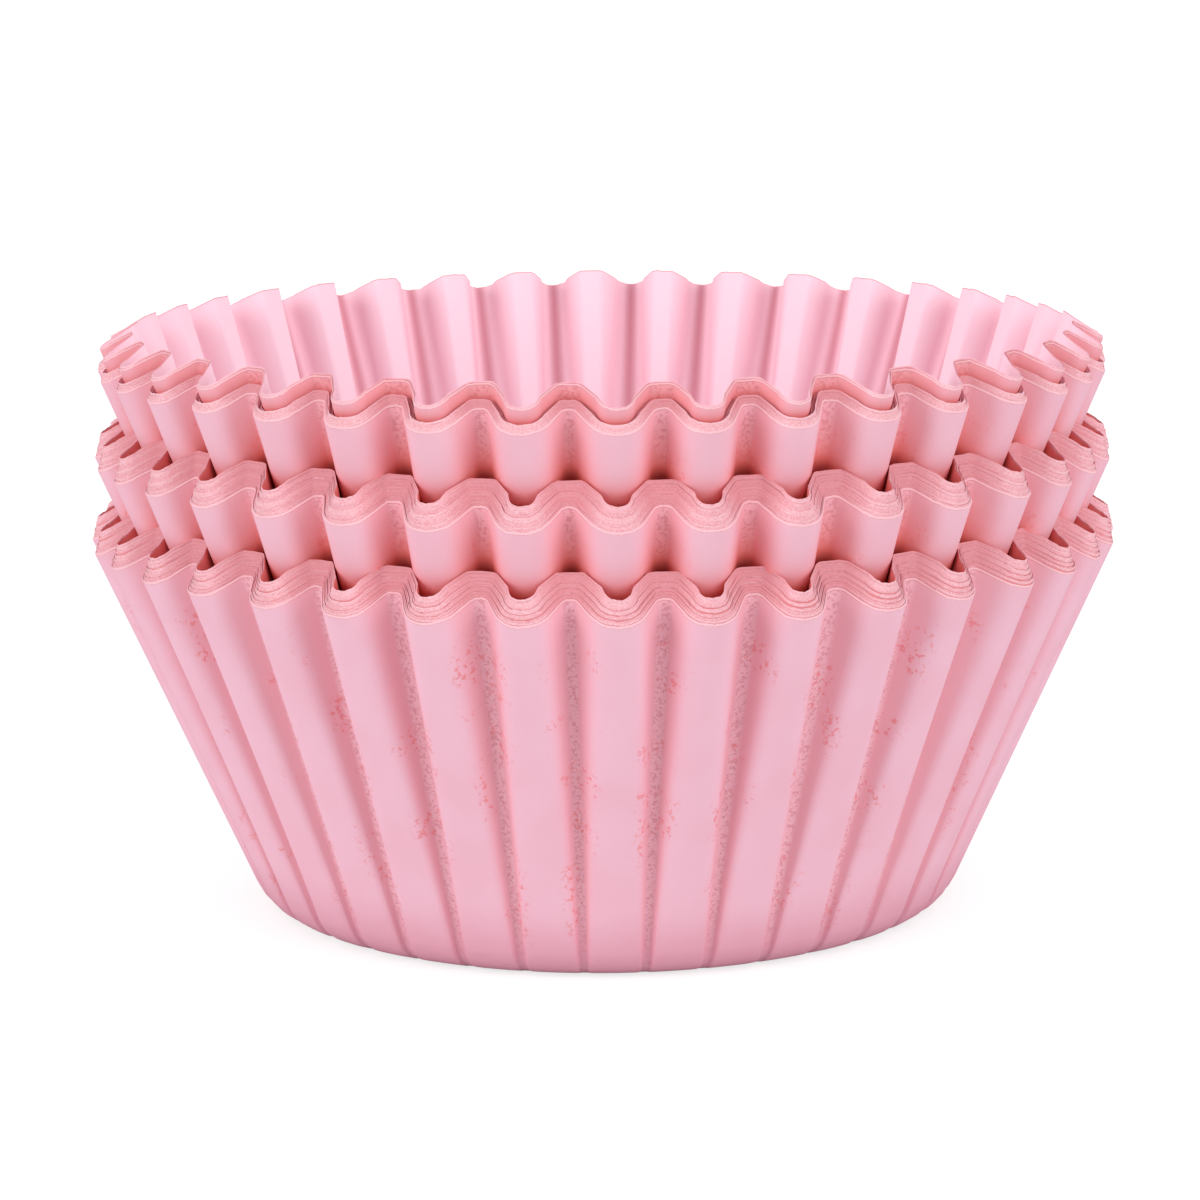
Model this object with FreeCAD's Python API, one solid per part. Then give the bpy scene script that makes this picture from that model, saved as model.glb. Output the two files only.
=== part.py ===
"""Stack of fluted paper cupcake liners, three pressed packs nested one in another.

Every liner is one disc of thin paper, folded into a flat round bottom and a wall of broad
outward ridges and narrow inward creases.  The paper neither stretches nor tears, so all the
folds of one crease fan out from one corner of the bottom, and every fold has the length
of paper that the flat disc leaves outside that corner.  A liner that lies deeper in a pack
has its bottom higher and its wall further in, so its rim stands prouder.

Frame: +Z up, the origin at the centre of the underside of the lowest liner.
Lengths are in millimetres, angles in degrees.
"""
import FreeCAD, Part
import math
import os

# The paper and the flat disc that a liner is pressed from
paper_thickness = 0.1
disc_diameter = 113.7

# The bottom and the flutes of the outermost liner of a pack, measured at the rim
base_diameter = 52.6
flute_count = 37
ridge_width = 2.7
crease_width = 0.9
flute_depth = 2.3
corner_saving = 0.45     # paper that a crease gains where it cuts across the bottom's corner
flank_turn = 55.0        # turn of the paper from a ridge into the side of a crease

# Lean of the ridges from upright: a pack that holds another one is spread a little
bottom_lean = 24.0
middle_lean = 23.2
top_lean = 22.6

# Thickness of each pressed pack, square to the wall, and the liners modelled in it
bottom_pack_thickness = 1.15
middle_pack_thickness = 1.15
top_outer_thickness = 0.5
top_inner_thickness = 0.4
bottom_liner_count = 5
middle_liner_count = 5
top_outer_liner_count = 3
top_inner_liner_count = 3

# Fits between the packs
seat_clearance = 0.05    # between a pack's creases and the ridges that rest on them
group_clearance = 0.2    # between the two groups of the top pack, square to the wall
inner_group_lift = 0.05  # the top pack's inner group isn't pushed home

# The front of the stack faces -Y: one ridge is turned this far to the right of it
front_ridge_turn = 1.2

# Angles and lengths worked out from the sizes above
half_pitch = math.pi / flute_count
base_radius = base_diameter / 2
disc_radius = disc_diameter / 2
squeeze = math.tan(math.radians(flank_turn) / 2)


class Sheet:
    """The folded surface at one depth in a pack: depth 0 is the outside of its outermost liner.

    Two points are worked out at the rim, in the upright plane through the middle of a ridge
    or of a crease: how far out they are and how high.  Half widths are square to that plane.
    """

    def __init__(self, lean, depth):
        slope = math.radians(lean)
        corner_shift = (1 - math.sin(slope)) / math.cos(slope)
        self.corner_radius = base_radius - depth * corner_shift
        self.bottom = depth
        self.ridge_foot = self.corner_radius * math.cos(half_pitch)
        ray = disc_radius - self.corner_radius
        self.ridge_radius = self.ridge_foot + ray * math.sin(slope)
        self.ridge_top = depth + ray * math.cos(slope)
        self.ridge_half = ridge_width / 2 - depth * squeeze
        crease_ray = ray + corner_saving
        crease_slope = self.crease_slope(slope)
        self.crease_radius = self.corner_radius + crease_ray * math.sin(crease_slope)
        self.crease_top = depth + crease_ray * math.cos(crease_slope)
        self.crease_half = crease_width / 2 + depth * squeeze

    def crease_slope(self, slope):
        """Lean of a crease, from the flute's depth at the rim of a pack's outermost liner."""
        ray = disc_radius - base_radius
        ridge_reach = base_radius * math.cos(half_pitch) + ray * math.sin(slope)
        crease_reach = ridge_reach - flute_depth - base_radius
        return math.asin(crease_reach / (ray + corner_saving))

    def point(self, radius, offset, height, turn):
        """A point that lies this far out and this far to the side of a plane at this turn."""
        x = radius * math.sin(turn) + offset * math.cos(turn)
        y = -radius * math.cos(turn) + offset * math.sin(turn)
        return FreeCAD.Vector(x, y, height)

    def corner(self, turn):
        """A corner of the flat bottom, where the folds of one crease meet."""
        return self.point(self.corner_radius, 0, self.bottom, turn)

    def ridge_end(self, side, turn):
        """One end of a ridge's rim."""
        return self.point(self.ridge_radius, side * self.ridge_half, self.ridge_top, turn)

    def crease_end(self, side, turn):
        """One end of a crease's rim."""
        return self.point(self.crease_radius, side * self.crease_half, self.crease_top, turn)


def facet(*corners):
    """A flat piece of paper between the given corners."""
    return Part.Face(Part.makePolygon(list(corners) + [corners[0]]))


def flute_facets(sheet, turn):
    """One ridge, the crease on its right and the two flanks of that crease, on one surface."""
    crease_turn = turn + half_pitch
    next_turn = turn + 2 * half_pitch
    left_corner = sheet.corner(turn - half_pitch)
    right_corner = sheet.corner(crease_turn)
    ridge_left = sheet.ridge_end(-1, turn)
    ridge_right = sheet.ridge_end(1, turn)
    crease_left = sheet.crease_end(-1, crease_turn)
    crease_right = sheet.crease_end(1, crease_turn)
    next_ridge = sheet.ridge_end(-1, next_turn)
    return [
        facet(left_corner, right_corner, ridge_right, ridge_left),
        facet(right_corner, crease_left, ridge_right),
        facet(right_corner, crease_right, crease_left),
        facet(right_corner, next_ridge, crease_right),
    ]


def rim_facets(outer, inner, turn):
    """The cut edge of the paper over one ridge and the crease on its right."""
    crease_turn = turn + half_pitch
    next_turn = turn + 2 * half_pitch
    rims = []
    for sheet in (outer, inner):
        rims.append([
            sheet.ridge_end(-1, turn),
            sheet.ridge_end(1, turn),
            sheet.crease_end(-1, crease_turn),
            sheet.crease_end(1, crease_turn),
            sheet.ridge_end(-1, next_turn),
        ])
    facets = []
    for i in range(4):
        a, b = rims[0][i], rims[0][i + 1]
        c, d = rims[1][i + 1], rims[1][i]
        facets += [facet(a, b, c), facet(a, c, d)]
    return facets


def bottom_facet(sheet, turns):
    """The flat bottom, with a corner at every crease."""
    return facet(*[sheet.corner(turn + half_pitch) for turn in turns])


def liner(lean, depth, lift):
    """One liner: a closed solid of paper between the surfaces at two depths, lifted."""
    outer = Sheet(lean, depth)
    inner = Sheet(lean, depth + paper_thickness)
    first_turn = math.radians(front_ridge_turn)
    turns = [first_turn + 2 * half_pitch * k for k in range(flute_count)]
    facets = [bottom_facet(outer, turns), bottom_facet(inner, turns)]
    for turn in turns:
        facets += flute_facets(outer, turn)
        facets += flute_facets(inner, turn)
        facets += rim_facets(outer, inner, turn)
    shell = Part.Shell(facets)
    solid = Part.Solid(shell)
    if solid.Volume < 0:
        solid.reverse()
    solid.translate(FreeCAD.Vector(0, 0, lift))
    return solid


def pack(name, count, lean, first_depth, thickness, lift):
    """The liners of one pressed pack, spread evenly through its thickness, outermost first."""
    step = (thickness - paper_thickness) / (count - 1)
    liners = {}
    for i in range(count):
        liners[f"{name}_liner_{i + 1}"] = liner(lean, first_depth + i * step, lift)
    return liners


def nesting_rise(lower_lean, lower_thickness, upper_lean):
    """How much higher the next pack sits, where its ridges wedge between the creases below.

    The fold along one side of an upper ridge comes down on the rim of the flank beside it, on
    the inside of the lower pack.  Seen from above, the two lines cross where
    foot + s * fold = crease + q * rim.  A ridge too wide for the creases rests on them.
    """
    lower = Sheet(lower_lean, lower_thickness + seat_clearance)
    upper = Sheet(upper_lean, 0)
    foot = upper.corner(half_pitch)
    fold = upper.ridge_end(1, 0) - foot
    crease = lower.crease_end(-1, half_pitch)
    rim = lower.ridge_end(1, 0) - crease
    gap = crease - foot
    cross = fold.x * rim.y - fold.y * rim.x
    s = (gap.x * rim.y - gap.y * rim.x) / cross
    q = (gap.x * fold.y - gap.y * fold.x) / cross
    wedged = (crease + rim * q).z - (foot + fold * s).z
    resting = crease.z - (-crease.y - upper.ridge_foot) / math.tan(math.radians(upper_lean))
    return min(wedged, resting)


middle_lift = nesting_rise(bottom_lean, bottom_pack_thickness, middle_lean)
top_lift = middle_lift + nesting_rise(middle_lean, middle_pack_thickness, top_lean)
inner_depth = top_outer_thickness + group_clearance

nodes = {}
nodes.update(pack("bottom", bottom_liner_count, bottom_lean, 0, bottom_pack_thickness, 0))
nodes.update(pack("middle", middle_liner_count, middle_lean, 0, middle_pack_thickness, middle_lift))
nodes.update(pack("top_outer", top_outer_liner_count, top_lean, 0, top_outer_thickness, top_lift))
nodes.update(pack("top_inner", top_inner_liner_count, top_lean, inner_depth, top_inner_thickness,
                  top_lift + inner_group_lift))

os.makedirs("parts", exist_ok=True)
for name, solid in nodes.items():
    solid.exportStep(f"parts/{name}.step")
    box = solid.BoundBox
    print(f"{name}: valid {solid.isValid()}, volume {solid.Volume:.1f} mm3, "
          f"{box.XLength:.2f} x {box.YLength:.2f} x {box.ZLength:.2f} mm, top at {box.ZMax:.2f}")
print(f"middle pack {middle_lift:.2f} mm up, top pack {top_lift:.2f} mm up")
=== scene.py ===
# %% [markdown]
# # A stack of fluted cupcake liners
# This lesson dresses a small stack of pink paper liners.  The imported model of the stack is
# loaded first and stays as it is: it fixes the size and the place of everything.  Then the
# camera and the light are set up, each liner is folded as a numpy surface, and one paper
# finish is mixed from procedural nodes.

# %% Load the frame
import math

import bpy
import numpy as np
from mathutils import Matrix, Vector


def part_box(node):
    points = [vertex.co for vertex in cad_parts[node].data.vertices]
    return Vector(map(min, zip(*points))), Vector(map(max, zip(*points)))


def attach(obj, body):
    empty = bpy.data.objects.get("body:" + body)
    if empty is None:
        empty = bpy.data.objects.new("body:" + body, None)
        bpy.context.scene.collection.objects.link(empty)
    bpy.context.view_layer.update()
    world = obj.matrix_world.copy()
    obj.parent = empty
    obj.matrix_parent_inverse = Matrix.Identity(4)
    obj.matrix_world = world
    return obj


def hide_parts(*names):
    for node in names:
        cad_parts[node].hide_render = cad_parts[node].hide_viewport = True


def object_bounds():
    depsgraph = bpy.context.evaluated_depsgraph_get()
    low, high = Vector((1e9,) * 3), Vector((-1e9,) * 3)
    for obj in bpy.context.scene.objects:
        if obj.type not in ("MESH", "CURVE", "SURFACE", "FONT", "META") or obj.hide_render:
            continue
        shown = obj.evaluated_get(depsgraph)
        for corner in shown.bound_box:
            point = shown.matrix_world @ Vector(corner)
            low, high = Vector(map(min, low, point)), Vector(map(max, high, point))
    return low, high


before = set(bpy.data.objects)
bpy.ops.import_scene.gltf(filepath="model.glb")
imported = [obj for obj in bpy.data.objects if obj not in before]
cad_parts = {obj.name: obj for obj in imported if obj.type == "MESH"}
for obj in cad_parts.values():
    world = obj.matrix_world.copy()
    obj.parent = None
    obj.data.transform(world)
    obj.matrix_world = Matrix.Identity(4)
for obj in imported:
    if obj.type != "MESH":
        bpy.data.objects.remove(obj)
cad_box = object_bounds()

MM = 0.001
cad_low, cad_high = (np.array([float(x) for x in corner]) for corner in cad_box)
print("the stack's box in mm:", (cad_high - cad_low) / MM)

# %% [markdown]
# ## The camera
# The photo was taken from close by, with a long lens, a little above the table.  The distance,
# the lens and the height of the camera were worked out together from the ellipses that the
# bottom and the three rims draw in the photo, so the render has the same perspective.  The
# lens is written for Blender's usual sensor, 36 mm wide, on a square picture.

# %% Camera
camera_distance = 0.2998
camera_elevation = math.radians(10.77)
camera_roll = math.radians(0.5)
aim = np.array([-0.00029, 0.0, 0.02247])
lens_mm = 117.6

camera_data = bpy.data.cameras.new("camera")
camera_data.lens = lens_mm
camera_data.sensor_width = 36
camera_data.clip_start = 0.01
camera = bpy.data.objects.new("camera", camera_data)
back_off = np.array([0, -math.cos(camera_elevation), math.sin(camera_elevation)])
camera.location = aim + camera_distance * back_off
upright_view = Matrix.Rotation(math.pi / 2 - camera_elevation, 3, "X")
camera.rotation_euler = (upright_view @ Matrix.Rotation(-camera_roll, 3, "Z")).to_euler()
bpy.context.collection.objects.link(camera)
bpy.context.scene.camera = camera
print("camera stands at", tuple(round(x, 4) for x in camera.location))

# %% [markdown]
# ## Shader maths in plain Python
# A material is a graph of nodes.  Written node by node it is long and hard to read, so one
# small class wraps a socket: `a * b` or `1 - mask` adds the Math node that works it out.
# Every other node comes from `Paint.node`, which takes the node's type, its settings and what
# goes into its sockets.


# %% Shader helpers
class Wire:
    """The output of a node, which can be added, multiplied and taken from a number."""

    def __init__(self, paint, socket):
        self.paint = paint
        self.socket = socket

    def maths(self, operation, first, second):
        """A Math node on two values, each a wire or a number."""
        return self.paint.node("Math", {"operation": operation}, {0: first, 1: second})

    def __add__(self, other):
        return self.maths("ADD", self, other)

    def __rsub__(self, other):
        return self.maths("SUBTRACT", other, self)

    def __mul__(self, other):
        return self.maths("MULTIPLY", self, other)


class Paint:
    """A material under construction."""

    def __init__(self, name):
        self.material = bpy.data.materials.new(name)
        self.material.use_nodes = True
        self.tree = self.material.node_tree
        self.tree.nodes.clear()

    def node(self, kind, settings=None, sockets=None, output=0):
        """Adds a node, sets it up, fills its sockets and returns the wanted output."""
        added = self.tree.nodes.new("ShaderNode" + kind)
        for key, value in (settings or {}).items():
            setattr(added, key, value)
        for key, value in (sockets or {}).items():
            if isinstance(value, Wire):
                self.tree.links.new(value.socket, added.inputs[key])
            else:
                added.inputs[key].default_value = value
        return Wire(self, added.outputs[output])

    def ramp(self, value, low, high):
        """0 below low, 1 above high and a smooth rise between them."""
        return self.node("MapRange", {"interpolation_type": "SMOOTHSTEP"},
                         {0: value, 1: low, 2: high, 3: 0.0, 4: 1.0})

    def blend(self, mask, first, second):
        """The first colour where the mask is 0, the second where it is 1."""
        mix = self.tree.nodes.new("ShaderNodeMix")
        mix.data_type = "RGBA"
        colour_inputs = [s for s in mix.inputs if s.type == "RGBA"]
        colour_output = [s for s in mix.outputs if s.type == "RGBA"][0]
        for socket, value in zip([mix.inputs[0]] + colour_inputs, (mask, first, second)):
            if isinstance(value, Wire):
                self.tree.links.new(value.socket, socket)
            else:
                socket.default_value = value
        return Wire(self, colour_output)

    def noise(self, place, scale, detail, roughness=0.5):
        """Soft noise about 0.5 at a place in millimetres; scale is in waves to a millimetre."""
        return self.node("TexNoise", None, {"Vector": place, "Scale": scale,
                                            "Detail": detail, "Roughness": roughness})

    def finish(self, shader):
        """Sends a shader to the surface and returns the material."""
        output = self.tree.nodes.new("ShaderNodeOutputMaterial")
        self.tree.links.new(shader.socket, output.inputs["Surface"])
        return self.material


def linear(red, green, blue):
    """A colour as a picture editor writes it, 0 to 255, as the linear values a shader takes.

    By the sRGB standard: value / 12.92 near black, ((value + 0.055) / 1.055) ** 2.4 above it.
    """
    values = np.array([red, green, blue]) / 255
    powers = np.where(values <= 0.04045, values / 12.92, ((values + 0.055) / 1.055) ** 2.4)
    return (*powers.tolist(), 1.0)


# %% [markdown]
# ## The studio
# The liners stand on a plain white surface in light from all round, with a broad lamp low on
# each side of the camera, one above it and one behind the stack.  The world gives the even
# light.  What the camera, a reflection or a see-through surface sees of it is plain white,
# through Light Path, so the picture's background is white with no more light on the paper.

# %% World, lamps and floor
world_light = 0.66
world = bpy.data.worlds.new("studio")
world.use_nodes = True
bpy.context.scene.world = world
sky = world.node_tree
sky.nodes.clear()
path = sky.nodes.new("ShaderNodeLightPath")
seen = sky.nodes.new("ShaderNodeMath")
seen.operation = "ADD"
seen_all = sky.nodes.new("ShaderNodeMath")
seen_all.operation = "ADD"
seen_all.use_clamp = True
sky.links.new(path.outputs["Is Camera Ray"], seen.inputs[0])
sky.links.new(path.outputs["Is Glossy Ray"], seen.inputs[1])
sky.links.new(seen.outputs[0], seen_all.inputs[0])
sky.links.new(path.outputs["Is Transmission Ray"], seen_all.inputs[1])
strength = sky.nodes.new("ShaderNodeMapRange")
strength.inputs[3].default_value = world_light
strength.inputs[4].default_value = 1.0
sky.links.new(seen_all.outputs[0], strength.inputs[0])
background = sky.nodes.new("ShaderNodeBackground")
background.inputs["Color"].default_value = (1, 1, 1, 1)
sky.links.new(strength.outputs[0], background.inputs["Strength"])
surround = sky.nodes.new("ShaderNodeOutputWorld")
sky.links.new(background.outputs[0], surround.inputs["Surface"])

lamp_spread = math.radians(40)


def sun(name, azimuth, elevation, power):
    """A very wide soft lamp far away.

    azimuth is 0 behind the camera and grows to its right, and elevation is the height over
    the table, both in degrees.
    """
    data = bpy.data.lights.new(name, "SUN")
    data.energy = power
    data.angle = lamp_spread
    lamp = bpy.data.objects.new(name, data)
    lamp.rotation_euler = (math.radians(90 - elevation), 0, math.radians(azimuth))
    bpy.context.collection.objects.link(lamp)


sun("left_lamp", -58, 20, 1.38)
sun("right_lamp", 52, 18, 1.13)
sun("top_lamp", 30, 55, 0.40)
sun("back_lamp", 180, 25, 0.45)

floor_half = 4.0            # metres
floor_height = -0.03 * MM   # just under the paper, so that the two don't share a plane
floor_mesh = bpy.data.meshes.new("floor")
floor_corners = [(x * floor_half, y * floor_half, floor_height)
                 for x, y in ((-1, -1), (1, -1), (1, 1), (-1, 1))]
floor_mesh.from_pydata(floor_corners, [], [(0, 1, 2, 3)])
floor = bpy.data.objects.new("floor", floor_mesh)
bpy.context.collection.objects.link(floor)


def floor_white():
    """A white surface.  The camera sees part of its white as a glow of its own, so the stack's
    shadow stays soft and the paper's pink hardly shows in it; the paper gets only plain light
    back from it."""
    paint = Paint("floor_white")
    seen_direct = paint.node("LightPath", output=0)
    colour = paint.blend(seen_direct, linear(203, 203, 203), linear(165, 165, 165))
    glow = paint.blend(seen_direct, linear(0, 0, 0), linear(222, 222, 222))
    return paint.finish(paint.node("BsdfPrincipled", None, {
        "Base Color": colour,
        "Roughness": 1.0,
        "Specular IOR Level": 0.0,
        "Emission Color": glow,
        "Emission Strength": 1.0,
    }))


floor_mesh.materials.append(floor_white())

# %% [markdown]
# ## How a liner is folded
# A liner is one disc of paper.  Its bottom is flat and its wall is folded into flutes: a broad
# ridge that faces out and a narrow crease that faces in, 37 of each.  All the folds of one
# crease fan out from one corner of the bottom, so a flute has no depth there and is deepest
# at the rim.  A liner deeper in the pack has its bottom higher and its wall further in,
# narrower ridges and wider creases.  `Sheet` gives the fold lines' ends for any depth.
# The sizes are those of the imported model, in millimetres.

# %% Sizes of the folded paper
flute_count = 37
half_pitch = math.pi / flute_count
base_radius = 26.3      # to a corner of the bottom, before it is rounded
disc_radius = 56.85     # of the flat disc
ridge_width = 2.7       # at the rim of a pack's outermost sheet, as the next two
crease_width = 0.9
flute_depth = 2.3       # from a ridge in to a crease
corner_saving = 0.45    # paper that a crease gains by cutting across the bottom's corner
flank_turn = math.radians(55.0)     # from a ridge into the side of a crease
squeeze = math.tan(flank_turn / 2)  # what each half width gains or loses for each mm of depth
front_ridge_turn = math.radians(1.2)


class Sheet:
    """Where the folds of a sheet at one depth in a pack end, below at the corner and at the rim.

    A fold's rim lies out from its foot by its length of paper times the sine of its lean, and
    up by that length times the cosine.  A crease leans less, so that at the outermost sheet's
    rim it lies flute_depth further in than a ridge.
    """

    def __init__(self, lean, depth):
        slope = math.radians(lean)
        self.slope = slope
        self.depth = depth
        self.corner = base_radius - depth * (1 - math.sin(slope)) / math.cos(slope)
        self.foot = self.corner * math.cos(half_pitch)
        self.foot_half = self.corner * math.sin(half_pitch)
        ray = disc_radius - self.corner
        self.ridge_radius = self.foot + ray * math.sin(slope)
        self.ridge_top = depth + ray * math.cos(slope)
        self.ridge_half = ridge_width / 2 - depth * squeeze
        first_ray = disc_radius - base_radius
        first_reach = base_radius * math.cos(half_pitch) + first_ray * math.sin(slope)
        crease_reach = first_reach - flute_depth - base_radius
        crease_slope = math.asin(crease_reach / (first_ray + corner_saving))
        self.crease_radius = self.corner + (ray + corner_saving) * math.sin(crease_slope)
        self.crease_top = depth + (ray + corner_saving) * math.cos(crease_slope)
        self.crease_half = crease_width / 2 + depth * squeeze


# %% [markdown]
# ## Softening the folds
# Pressed paper doesn't fold to a knife edge.  Round one flute the section is a polygon of nine
# points: the crease's middle and right end, a knee on the flank, the ridge's left end, middle
# and right end, the other flank's knee and the next crease's left end and middle.  The corners
# at the ends of the ridge and the creases are cut back along their two sides and a quadratic
# curve is laid through each cut.  Each point of the curve is then a fixed mix of the polygon's
# points, so the whole section is one small table of weights, and it holds at every height.  The
# outermost sheet is a smooth wave; deeper sheets have flat creases with clear corners and
# narrow round notches between them.

# %% The section of one flute
knee_place = 0.55       # how far along the flank, from the crease, its knee lies
crease_cut = 0.9        # share of an outermost crease's half width that its rounding takes
crease_steps = 3        # straight pieces in a rounded corner of a crease
ridge_steps = 5         # the same for a ridge
nearness = np.array([1.0, 1.0, 0.65, 0.3, 0.0, 0.3, 0.65, 1.0, 1.0])  # of the points to a crease
pick = np.eye(9)        # row n holds the weights that give the polygon's point n by itself


def corner_cut(before, at, after, cut_before, cut_after, steps):
    """Rows of weights along (1-t)^2 A + 2 t (1-t) P + t^2 B, with A and B the ends of the cut."""
    start = pick[at] + (pick[before] - pick[at]) * cut_before
    end = pick[at] + (pick[after] - pick[at]) * cut_after
    t = np.linspace(0, 1, steps + 1)[:, None]
    return (1 - t) ** 2 * start + 2 * t * (1 - t) * pick[at] + t ** 2 * end


def section_weights(depth):
    """Weights of the polygon's nine points for the samples round one flute, and how far each
    sample is towards the crease, from 0 on the ridge's middle to 1 in the crease.

    Each cut is the share of a side that a corner's rounding takes.  A deeper sheet has wider
    creases and tighter corners.  The last point is the next flute's first sample.
    """
    at_crease = crease_cut / (1 + 1.2 * depth)  # along the crease
    low_cut = 0.22 - 0.04 * depth               # along the flank, from the crease's corner
    high_cut = 0.97 - 0.28 * depth              # along the flank, from the ridge's corner
    ridge_cut = 0.88 + 0.05 * depth             # along the ridge
    weights = np.concatenate([
        pick[:1],
        corner_cut(0, 1, 2, at_crease, low_cut, crease_steps),
        pick[2:3],
        corner_cut(2, 3, 4, high_cut, ridge_cut, ridge_steps),
        pick[4:5],
        corner_cut(4, 5, 6, ridge_cut, high_cut, ridge_steps),
        pick[6:7],
        corner_cut(6, 7, 8, low_cut, at_crease, crease_steps),
    ])
    return weights, weights @ nearness


# %% [markdown]
# ## No two flutes are quite the same
# The die leaves each fold a little to one side, a little wide or a little shallow.  The flutes
# of all the liners were pressed together and lie in line, so one list of small shifts,
# drawn from a seeded generator, serves every sheet: the sheets never cut through each other.

# %% Small shifts of the folds
turn_spread = 0.0040    # radians; the other spreads are in millimetres
crease_radius_spread = 0.10
ridge_radius_spread = 0.07
width_spread = 0.05
shifts = np.random.default_rng(11)
crease_turn_shift = shifts.normal(0, turn_spread, flute_count)
ridge_turn_shift = shifts.normal(0, turn_spread, flute_count)
crease_radius_shift = shifts.normal(0, crease_radius_spread, flute_count)
ridge_radius_shift = shifts.normal(0, ridge_radius_spread, flute_count)
crease_width_shift = shifts.normal(0, width_spread, flute_count)
ridge_width_shift = shifts.normal(0, width_spread, flute_count)
largest_turn = float(np.abs([crease_turn_shift, ridge_turn_shift]).max())
print("largest turn of a fold out of its place in degrees:", round(math.degrees(largest_turn), 2))

ridge_crown = 0.06          # how far a ridge's middle bulges out at the rim
foot_scallop = 0.45         # how far in a crease starts at the bottom's corner
foot_crease_half = 0.30     # half width of a crease there
foot_gap = 0.15             # left there between the end of a crease and that of a ridge
knee_tuck = 0.28            # how far a knee moves in over its notch, for each mm of depth


def section(sheet, rise):
    """The polygon's nine points for every flute at some fractions of the way up the folds.

    rise is an array of fractions, 0 at the corner and 1 at the rim.  A point has a radius in
    the middle plane of its ridge or crease and an offset square to it, and its radius, offset
    and height all change evenly from the corner to the rim.
    Returns an array of shape (rises, flutes, 9, 3).
    """
    k = np.arange(flute_count)
    w = rise[:, None]
    middle = front_ridge_turn + 2 * half_pitch * k
    ridge_turn = middle + ridge_turn_shift * w
    left_turn = middle - half_pitch + crease_turn_shift * w
    right_turn = middle + half_pitch + np.roll(crease_turn_shift, -1) * w
    ridge_radius = sheet.foot + (sheet.ridge_radius - sheet.foot + ridge_radius_shift) * w
    foot_half = sheet.foot_half - foot_crease_half - foot_gap
    ridge_half = (1 - w) * foot_half + w * (sheet.ridge_half + ridge_width_shift)
    ridge_height = sheet.depth + (sheet.ridge_top - sheet.depth) * w
    crown = ridge_crown * w
    foot_radius = sheet.corner - foot_scallop

    def crease(shift, half_shift, side, turn):
        """A crease's middle, with side 0, or one of its ends, with side -1 or 1."""
        radius = foot_radius + (sheet.crease_radius - foot_radius + shift) * w
        half = (1 - w) * foot_crease_half + w * (sheet.crease_half + half_shift)
        height = sheet.depth + (sheet.crease_top - sheet.depth) * w
        return upright(radius, side * half, height, turn)

    def knee(crease_end, ridge_end, side):
        """The point on a flank, moved sideways over the notch behind the ridge."""
        tuck = side * knee_tuck * sheet.depth * w
        sideways = upright(0, tuck, 0, ridge_turn)
        return crease_end + (ridge_end - crease_end) * knee_place + sideways

    next_shift = np.roll(crease_radius_shift, -1)
    next_width = np.roll(crease_width_shift, -1)
    crown_radius = ridge_radius + crown * math.cos(sheet.slope)
    crown_height = ridge_height - crown * math.sin(sheet.slope)
    crease_right = crease(crease_radius_shift, crease_width_shift, 1, left_turn)
    next_crease_left = crease(next_shift, next_width, -1, right_turn)
    ridge_left = upright(ridge_radius, -ridge_half, ridge_height, ridge_turn)
    ridge_right = upright(ridge_radius, ridge_half, ridge_height, ridge_turn)
    return np.stack([
        crease(crease_radius_shift, crease_width_shift, 0, left_turn),
        crease_right,
        knee(crease_right, ridge_left, 1),
        ridge_left,
        upright(crown_radius, 0, crown_height, ridge_turn),
        ridge_right,
        knee(next_crease_left, ridge_right, -1),
        next_crease_left,
        crease(next_shift, next_width, 0, right_turn),
    ], axis=2)


def upright(radius, offset, height, turn):
    """x, y, z of points this far out and this far to the side of planes at these turns."""
    radius, offset, height, turn = np.broadcast_arrays(radius, offset, height, turn)
    x = radius * np.sin(turn) + offset * np.cos(turn)
    y = -radius * np.cos(turn) + offset * np.sin(turn)
    return np.stack([x, y, height], axis=-1)


# %% [markdown]
# ## One sheet as a closed surface
# A sheet is a grid: its columns run round the flutes and its rows run from the middle of the
# underside, out to the corner, up the wall, over the cut edge and back down the inside.  The
# corner between the bottom and the wall is pressed round: it is a quadratic curve from a point
# on the bottom, past the corner, to a point on the wall.  Where only a sheet's cut edge can be
# seen, the grid is just the strip below the rim, closed to a ring.  Each vertex also keeps how
# near it is to a crease, how high it is on the wall, how pale its cut edge is (with a painted
# highlight where the edge shows as a line), which face it is on and how much painted red light
# and shade falls there, for the finish.

# %% Rows of a sheet
corner_reach = 2.3      # how far the rounding of the corner runs along the bottom and the wall
edge_row = 0.14         # how far below the cut edge the last row lies
line_row = 0.08         # the same on a sheet that starts a group


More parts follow.
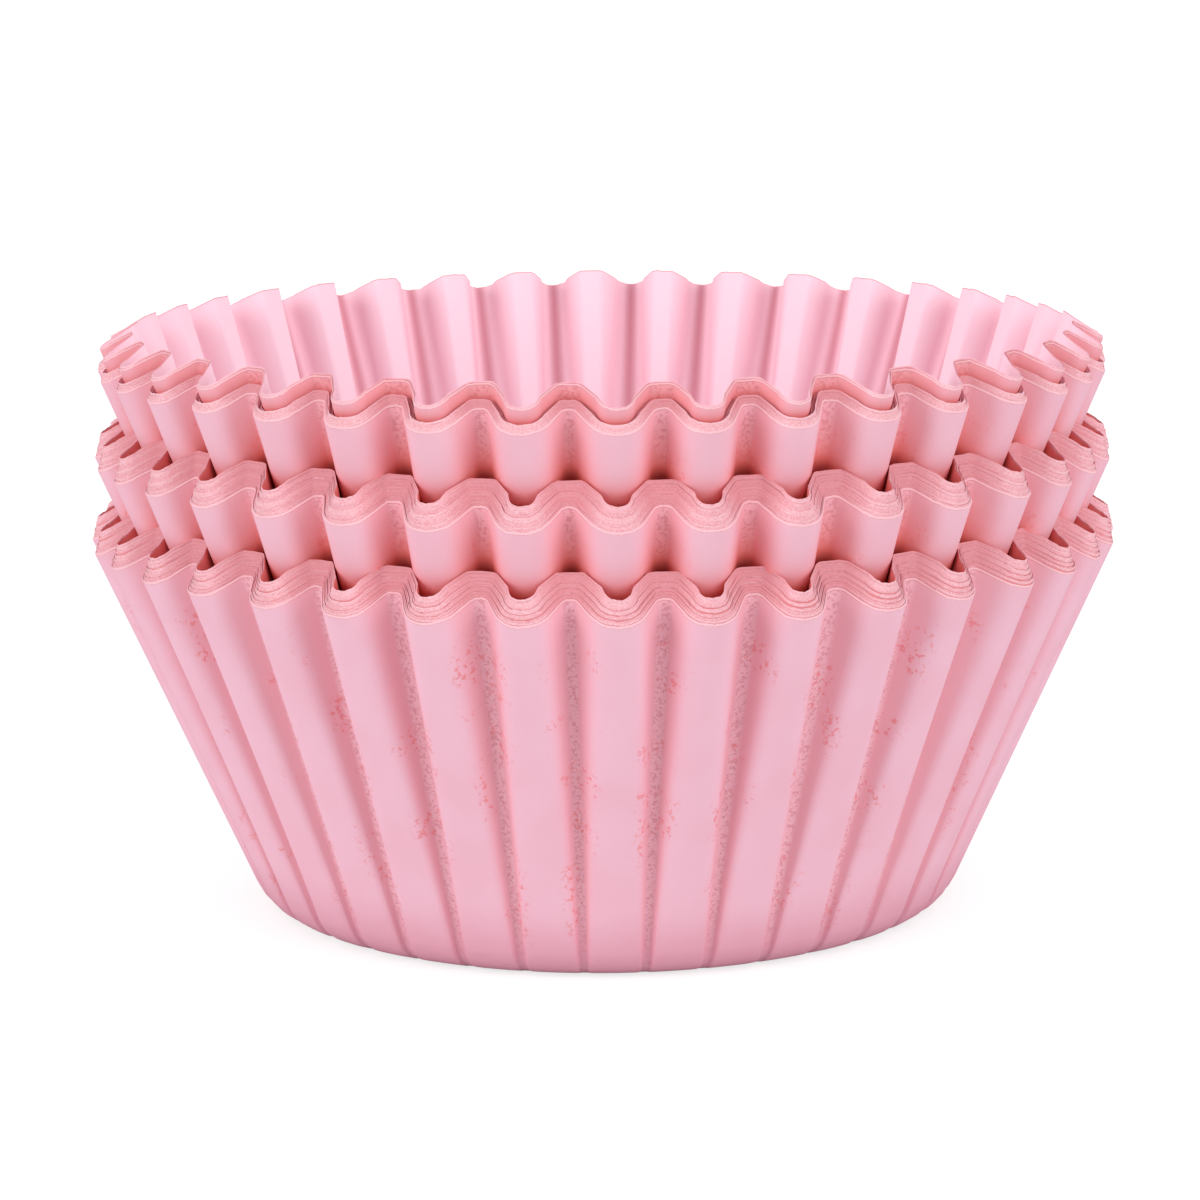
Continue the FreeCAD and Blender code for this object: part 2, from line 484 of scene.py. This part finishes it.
def side_rows(sheet, weights, rises, corner_steps, rim_offset):
    """Rows of one face of a sheet, from the bottom outwards and up to the rim.

    The corner is (1-t)^2 A + 2 t (1-t) C + t^2 B, from A on the bottom past the sharp corner C
    to B on the wall.  A hidden sheet has one corner step: its corner is a plain cut, well
    inside the rounded one.  A strip has none.  rim_offset moves the last two rows up the folds.
    Returns the rows' places and, for each row, the fraction of the wall's height.
    """
    wall_length = disc_radius - sheet.corner
    start = corner_reach / wall_length
    w = start + (1 - start) * rises
    folded = np.einsum("sc,rfcx->rfsx", weights, section(sheet, w))
    folded = folded.reshape(len(w), -1, 3)
    foot = np.einsum("sc,rfcx->rfsx", weights, section(sheet, np.zeros(1))).reshape(-1, 3)
    upward = folded[-1] - foot
    upward /= np.linalg.norm(upward, axis=1)[:, None]
    folded[-1] += upward * rim_offset[:, None]
    folded[-2] += upward * rim_offset[:, None]
    ring_radius = sheet.foot - corner_reach
    inner = foot * ring_radius / np.linalg.norm(foot[:, :2], axis=1)[:, None]
    inner[:, 2] = sheet.depth
    t = np.linspace(0, 1, corner_steps + 1)[:, None, None]
    rounded = (1 - t) ** 2 * inner + 2 * t * (1 - t) * foot + t ** 2 * folded[0]
    places = np.concatenate([rounded[:-1], folded])
    heights = np.concatenate([np.zeros(corner_steps), w])
    return places, heights


off_centre = 0.04       # how far a disc lies off centre
short_waves = (2, 3, 5, 8, 13)  # how many times the press's own waves repeat round the rim
wave_share = 0.35       # their size against that of the disc's lie
ragged = 0.020          # how uneven the fibres leave a cut edge
crease_focus = 1.8      # the power that keeps a crease's redness near its bottom
gap_red = 0.65          # how much painted red shade the gap before a group of sheets gets at a ridge
line_highlight_tone = 2.0         # how pale a cut edge is that shows as a line: a painted highlight
edge_tones = (0.8, 1.5)     # how pale the other cut edges are, drawn between these


def rim_unevenness(generator, columns):
    """How much higher the cut edge is at each column: the disc lies a little off centre, so
    the height goes as a cosine round the rim, the press adds a few shorter waves, and the
    fibres leave the edge slightly ragged."""
    turn = np.linspace(0, 2 * math.pi, columns, endpoint=False)
    lie = off_centre * np.cos(turn - generator.uniform(0, 2 * math.pi))
    for waves in short_waves:
        lie += wave_share * off_centre * np.cos(waves * turn - generator.uniform(0, 2 * math.pi))
    return lie + generator.normal(0, ragged, columns)


def redness(towards_crease, above_rim, ridge_fade, crease_fade, crease_rise, crease_strength):
    """How much of the light at a place comes only by way of other pink paper.

    On a ridge it is exp(-height over the rim below / ridge_fade).  In a crease, where that rim
    is higher by crease_rise, it is crease_strength times exp(-height over it / crease_fade).
    Between them the two are mixed by the nearness to the crease, to the power crease_focus.
    """
    share = np.clip(towards_crease, 0, 1)[None] ** crease_focus
    ridge = np.exp(-np.clip(above_rim, 0, None) / ridge_fade)
    crease = np.exp(-np.clip(above_rim - crease_rise, 0, None) / crease_fade)
    return ridge * (1 - share) + crease_strength * crease * share


def gap_redness(towards_crease):
    """How much painted red shade the thin gap before a group of sheets gets: gap_red from a ridge
    to nearly half way to the crease, then evenly less, and a quarter of it near the crease, where
    it closes."""
    return gap_red * np.clip((0.95 - towards_crease) / 0.5, 0.25, 1)


def sheet_grid(pack, depth, rises, corner_steps, generator, outside_red, inside_red, line, trim):
    """Places, quads, triangles and the attributes of one closed sheet of paper.

    With no corner steps it is only the strip below the rim, closed to a ring.  A whole sheet
    is closed by a fan of triangles round the middle of its underside and one over it.

    outside_red is the height of the rim below and redness's last four values, or None;
    inside_red is how much painted red light the notches on the sheet's inside get; line marks
    the first sheet of a group, which has a painted highlight on its cut edge if its wall is seen
    and painted red shade in the gap before it if not; trim is how far down its folds the cut edge
    lies.
    """
    lift = pack["lift"]
    outer = Sheet(pack["lean"], depth)
    inner = Sheet(pack["lean"], depth + pack["paper"])
    weights, towards_crease = section_weights(depth)
    inner_weights, _ = section_weights(depth + pack["paper"])
    columns = flute_count * len(weights)
    offset = rim_unevenness(generator, columns) - trim
    outside, heights = side_rows(outer, weights, rises, corner_steps, offset)
    inside, _ = side_rows(inner, inner_weights, rises, corner_steps, offset)
    rows = np.concatenate([outside, inside[::-1]])
    rows[..., 2] += lift
    count = len(rows)
    half = len(outside)
    fold = np.broadcast_to(np.tile(towards_crease, flute_count), (count, columns))
    height = np.broadcast_to(np.concatenate([heights, heights[::-1]])[:, None], (count, columns))
    edge = np.zeros((count, columns))
    in_view = corner_steps > 1
    # A seen sheet that starts a group gets a painted highlight on its cut edge; the others get a
    # tone of their own
    edge[half - 1:half + 1] = line_highlight_tone if line and in_view else generator.uniform(*edge_tones)
    face_side = np.zeros((count, columns))
    face_side[:half] = 1.0
    red = np.zeros((count, columns))
    if outside_red:
        rim_below, *fading = outside_red
        # Painted red light and shade from the rim of the pack below
        red[:half] = redness(fold[0], rows[:half, :, 2] - rim_below, *fading)
    elif line and not in_view:
        # Painted red shade in the gap before a hidden sheet that starts a group
        red[:half - 1] = gap_redness(fold[:half - 1])
    # Painted red light in the notches on the sheet's inside
    red[half:] = inside_red
    values = {"fold": fold, "height": height, "edge": edge, "outside": face_side, "red": red}
    i = np.arange(columns)
    along = (i + 1) % columns
    joins = count - 1 if corner_steps else count
    j = np.arange(joins)[:, None] * columns
    above = (j + columns) % (count * columns)
    quads = np.stack([j + i, j + along, above + along, above + i], axis=-1).reshape(-1, 4)
    if corner_steps == 0:
        attributes = {key: value.reshape(-1) for key, value in values.items()}
        return rows.reshape(-1, 3), quads, np.zeros((0, 3), int), attributes
    poles = np.array([[0, 0, outer.depth + lift], [0, 0, inner.depth + lift]])
    places = np.concatenate([rows.reshape(-1, 3), poles])
    attributes = {key: np.concatenate([value.reshape(-1), [0, 0]])
                  for key, value in values.items()}
    attributes["outside"][-2] = 1       # the middle of the underside
    under = len(places) - 2
    over = len(places) - 1
    last = (count - 1) * columns
    under_fan = np.stack([np.full(columns, under), along, i], axis=-1)
    over_fan = np.stack([np.full(columns, over), last + i, last + along], axis=-1)
    return places, quads, np.concatenate([under_fan, over_fan]), attributes


# %% [markdown]
# ## Putting sheets into a mesh
# `foreach_set` fills a mesh from whole arrays, which is far quicker than adding one face at a
# time.  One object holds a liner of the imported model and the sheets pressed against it, and
# takes that liner's place in the picture.

# %% Mesh from arrays
sharp_turn = math.radians(50)   # faces that meet at more than this aren't shaded as one


def paper_object(name, sheets, material):
    """One object of several closed sheets, each given as sheet_grid returns it."""
    places, loops, totals = [], [], []
    attributes = {key: [] for key in sheets[0][3]}
    first = 0
    for sheet_places, quads, triangles, values in sheets:
        places.append(sheet_places)
        loops += [(quads + first).reshape(-1), (triangles + first).reshape(-1)]
        totals += [np.full(len(quads), 4), np.full(len(triangles), 3)]
        for key, value in values.items():
            attributes[key].append(value)
        first += len(sheet_places)
    places = np.concatenate(places) * MM
    loops = np.concatenate(loops)
    totals = np.concatenate(totals)
    mesh = bpy.data.meshes.new(name)
    mesh.vertices.add(len(places))
    mesh.vertices.foreach_set("co", places.astype(np.float32).reshape(-1))
    mesh.loops.add(len(loops))
    mesh.loops.foreach_set("vertex_index", loops.astype(np.int32))
    mesh.polygons.add(len(totals))
    starts = np.concatenate([[0], np.cumsum(totals)[:-1]])
    mesh.polygons.foreach_set("loop_start", starts.astype(np.int32))
    mesh.update(calc_edges=True)
    mesh.validate()
    for key, value in attributes.items():
        layer = mesh.attributes.new(key, "FLOAT", "POINT")
        layer.data.foreach_set("value", np.concatenate(value).astype(np.float32))
    mesh.shade_smooth()
    mesh.set_sharp_from_angle(angle=sharp_turn)
    mesh.materials.append(material)
    made = bpy.data.objects.new(name, mesh)
    bpy.context.collection.objects.link(made)
    triangle_count = int((totals - 2).sum())
    print(f"{name}: {len(sheets)} sheets, {triangle_count} triangles")
    return made


# %% [markdown]
# ## The paper
# Greaseproof liner paper is dull, coloured right through and a little see-through, so light
# that gets between the folds comes back redder.  The finish paints that red light into the
# colour, with painted shade on the flanks, in the creases and grooves and at the foot, and
# painted highlights on the inside's crests and on cut edges that show as lines.  Three things
# show up close: soft clouds where the paper is denser, a worn speckle along the bottoms of the
# creases with a few rubbed flecks beside them, and the pale, fibrous cut edge.

# %% Paper finish
def liner_paper():
    """The pink paper, worked out from the place in millimetres and the sheets' attributes."""
    paint = Paint("liner_paper")
    place = paint.node("TexCoord", output=3)    # in the object's own frame
    place_mm = paint.node("VectorMath", {"operation": "SCALE"}, {0: place, "Scale": 1 / MM})
    fold, height, edge, outside, red = (
        paint.node("Attribute", {"attribute_name": name}, output=2)
        for name in ("fold", "height", "edge", "outside", "red"))

    face = linear(246, 196, 213)
    cloud = linear(245, 191, 208)
    within = linear(244, 200, 213)
    # The next four are painted light: a highlight on the inside's crests, and shade in its
    # grooves, on the outside's flanks and along its crease bottoms
    crest_highlight = linear(246, 211, 224)
    groove_shade = linear(212, 146, 160)
    flank = linear(243, 181, 194)
    strip = linear(243, 186, 199)
    worn = linear(222, 149, 161)
    frost = linear(247, 204, 215)
    # Painted red light from between the sheets, and painted dark shade where it is strongest
    painted_red_light = linear(244, 126, 120)
    painted_dark_shade = linear(150, 38, 38)
    # Painted shade on the foot
    foot = linear(228, 160, 178)
    fleck = linear(238, 135, 138)
    cut_edge = linear(244, 194, 202)
    cut_shade = linear(230, 154, 162)
    # Painted shade on the cut edge over a crease, and a painted highlight on a cut edge that
    # shows as a line
    cut_crease_shade = linear(210, 120, 128)
    cut_line_highlight = linear(249, 201, 210)

    # The outside is cloudy, with painted shade on its flanks and along its crease bottoms; the
    # inside has painted highlights on its crests and painted shade in its grooves
    clouds = paint.ramp(paint.noise(place_mm, 0.22, 1.0), 0.35, 0.7)
    outer_face = paint.blend(clouds, face, cloud)
    on_wall = paint.ramp(height, 0.0, 0.07)
    flank_shade_mask = paint.ramp(fold, 0.30, 0.80) * on_wall
    outer_face = paint.blend(flank_shade_mask, outer_face, flank)
    in_crease = paint.ramp(fold, 0.94, 0.998) * on_wall
    outer_face = paint.blend(in_crease, outer_face, strip)
    groove_shade_mask = (1 - paint.ramp(fold, 0.0, 0.26)) * on_wall
    inner_face = paint.blend(paint.ramp(fold, 0.60, 1.0) * on_wall, within, crest_highlight)
    inner_face = paint.blend(groove_shade_mask, inner_face, groove_shade)
    colour = paint.blend(outside, inner_face, outer_face)

    # Worn speckle in the creases, with pale fibres in it below the rim
    grain = paint.noise(place_mm, 3.6, 1.0, 0.65)
    fibres = paint.noise(place_mm, 8.0, 1.0, 0.7)
    low_down = 1 - paint.ramp(height, 0.86, 0.97)
    strip_mask = in_crease * outside
    colour = paint.blend(paint.ramp(grain, 0.50, 0.58) * strip_mask * 0.7, colour, worn)
    frosted = paint.ramp(fibres, 0.55, 0.62) * strip_mask * low_down * 0.8
    colour = paint.blend(frosted, colour, frost)

    # Rubbed flecks beside the creases, in patches
    patches = paint.ramp(paint.noise(place_mm, 0.30, 0.0), 0.56, 0.66)
    crumbs = paint.ramp(paint.noise(place_mm, 2.2, 2.0, 0.75), 0.55, 0.62)
    near_crease = paint.ramp(fold, 0.15, 0.5) * outside
    colour = paint.blend(patches * crumbs * near_crease * low_down * 0.7, colour, fleck)

    # Painted shade on the foot, and painted light that comes back red from between the sheets,
    # going over to painted dark shade where it is strongest
    foot_shade_mask = 1 - paint.ramp(height, 0.02, 0.22)
    colour = paint.blend(foot_shade_mask * outside * 0.75, colour, foot)
    colour = paint.blend(red, colour, painted_red_light)
    colour = paint.blend(paint.ramp(red, 0.75, 1.6), colour, painted_dark_shade)

    # The cut edge is fibrous, with painted shade over a crease and a painted highlight where it
    # shows as a line
    tone = paint.ramp(fibres, 0.38, 0.66) * 0.60 + paint.ramp(edge, 0.5, 1.6) * 0.55
    frayed = paint.blend(tone, cut_shade, cut_edge)
    on_line_highlight = paint.ramp(edge, 1.5, 2.0) * 0.65
    frayed = paint.blend(paint.ramp(fold, 0.35, 1.0) * 0.7, frayed, cut_crease_shade)
    frayed = paint.blend(on_line_highlight, frayed, cut_line_highlight)
    colour = paint.blend(paint.ramp(edge, 0.0, 0.6) * 0.9, colour, frayed)

    relief = paint.node("Bump", None, {"Strength": 0.4, "Distance": 0.03 * MM, "Height": fibres})
    shader = paint.node("BsdfPrincipled", None, {
        "Base Color": colour,
        "Roughness": 0.9,
        "Specular IOR Level": 0.06,
        "Normal": relief,
    })
    return paint.finish(shader)


paper = liner_paper()

# %% [markdown]
# ## The packs
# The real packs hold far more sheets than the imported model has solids.  Each object here is one
# solid's liner with the thin sheets pressed against its inside, spread through the same
# thickness.  In the bottom pack they lie in loose groups, parted by thin dark gaps; the middle
# pack has one such gap near its outside; the top pack is dense outside, and its few inner
# sheets stand clear.  Three lowered sheets keep the gap between them shallow.
#
# Sheets whose walls can be seen have many rows.  Each object's first sheet and each pack's
# last one are whole too, with few rows.  Of the others only the cut edges show, so they are
# strips.

# %% Where the sheets lie
bottom_lean, middle_lean, top_lean = 24.0, 23.2, 22.6
middle_lift = float(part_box("middle_liner_1")[0][2]) / MM
top_lift = float(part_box("top_outer_liner_1")[0][2]) / MM
inner_rise = 0.16       # the top pack's inner sheets aren't pushed home
print("packs stand at", round(middle_lift, 2), round(top_lift, 2), "mm")

seen_steps, hidden_steps, strip_steps = 5, 1, 0     # in the corner of each kind of sheet
low_wall = [0.0, 0.12, 0.3, 0.5, 0.7, 0.85, 0.95]
high_wall = [0.0, 0.5, 0.76, 0.79, 0.82, 0.84, 0.86, 0.88, 0.91, 0.95]
inner_wall = low_wall + [0.965, 0.974, 0.983]
hidden_wall = [0.0, 0.25, 0.5, 0.75, 0.92]
strip_wall = [0.90]
usual_wall = 28         # about how long a wall is above its rounded corner
rim_rows = [1 - edge_row / usual_wall, 1.0]
line_rows = [1 - line_row / usual_wall, 1.0]


def evenly(first, last, step):
    """Depths evenly spread from the first to the last sheet of a dense part of a pack."""
    count = round((last - first) / step) + 1
    return [round(float(d), 3) for d in np.linspace(first, last, count)]


def shared(depths, parts):
    """The depths shared out in order over the given number of objects."""
    return [[float(d) for d in share] for share in np.array_split(depths, parts)]


outer_trim = 0.28               # how far down their folds the top pack's outer rims lie
fillers = [0.45, 0.53, 0.61]    # depths of the lowered sheets
filler_trim = 0.75              # how far down theirs lie
pack_end = 1.10                 # about the depth of the lower packs' last sheet
outer_group_end = 0.36          # the depth of the last outer rim of the top pack
between_groups = Sheet(top_lean, 0.5)
rim_of_bottom = Sheet(bottom_lean, pack_end).ridge_top
rim_of_middle = middle_lift + Sheet(middle_lean, pack_end).ridge_top
rim_of_outer_group = top_lift + Sheet(top_lean, outer_group_end).ridge_top - outer_trim
crease_rise = between_groups.crease_top - between_groups.ridge_top
pack_fading = (0.9, 1.9, 1.1, 1.6)              # redness's last four values over a whole pack
group_fading = (0.8, 1.2, crease_rise, 0.75)    # and over the top pack's outer group

# wall is the rows of a seen wall, red is sheet_grid's outside_red, lines holds the depths of
# the sheets that start a group and depths those of the sheets in each object.
packs = {
    "bottom": dict(
        lean=bottom_lean, lift=0.0, trim=0.0, paper=0.075, nodes="bottom_liner_{}",
        wall=low_wall, red=None, inside_red=0.9, lines={0.0, 0.11, 0.32, 0.53, 0.74},
        depths=[[0.0], [0.11, 0.20], [0.32, 0.41], [0.53, 0.62], evenly(0.74, 1.06, 0.08)]),
    "middle": dict(
        lean=middle_lean, lift=middle_lift, trim=0.0, paper=0.075, nodes="middle_liner_{}",
        wall=high_wall, red=(rim_of_bottom, *pack_fading), inside_red=0.9, lines={0.0, 0.20},
        depths=[[0.0, 0.085]] + shared(evenly(0.20, 1.06, 0.086), 4)),
    "top_outer": dict(
        lean=top_lean, lift=top_lift, trim=outer_trim, paper=0.07, nodes="top_outer_liner_{}",
        wall=high_wall, red=(rim_of_middle, *pack_fading), inside_red=0.7, lines={0.0},
        depths=[[0.0, 0.072], [0.144, 0.216, 0.288], [outer_group_end] + fillers]),
    "top_inner": dict(
        lean=top_lean, lift=top_lift + inner_rise, trim=0.0, paper=0.05,
        nodes="top_inner_liner_{}", wall=inner_wall, red=(rim_of_outer_group, *group_fading),
        inside_red=0.0, lines={0.74, 0.86}, depths=[[0.74], [0.80], [0.86]]),
}

edges = np.random.default_rng(5)
pieces = []
for pack_name, pack in packs.items():
    outermost = pack["depths"][0][0]
    innermost = pack["depths"][-1][-1]
    for number, depths in enumerate(pack["depths"], start=1):
        sheets = []
        for depth in depths:
            line = depth in pack["lines"]
            lowered = pack_name == "top_outer" and depth in fillers
            if depth == outermost or (pack_name == "top_inner" and depth == innermost):
                wall, corner_steps = pack["wall"], seen_steps
            elif depth in (depths[0], innermost):
                wall, corner_steps = hidden_wall, hidden_steps
            else:
                wall, corner_steps = strip_wall, strip_steps
            outside_red = pack["red"] if depth == outermost else None
            inside_red = pack["inside_red"] if depth == innermost else 0.0
            rises = np.array(wall + (line_rows if line else rim_rows))
            trim = filler_trim if lowered else pack["trim"]
            sheets.append(sheet_grid(pack, depth, rises, corner_steps, edges, outside_red,
                                     inside_red, line, trim))
        piece = paper_object(f"{pack_name}_cups_{number}", sheets, paper)
        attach(piece, "root")
        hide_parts(pack["nodes"].format(number))
        pieces.append(piece)
triangles = sum(len(piece.data.loops) - 2 * len(piece.data.polygons) for piece in pieces)
print("the sheets' triangles in all:", triangles)

# %% [markdown]
# ## Colour of the picture
# Standard view keeps a colour as it was written.

# %% View
bpy.context.scene.view_settings.view_transform = "Standard"
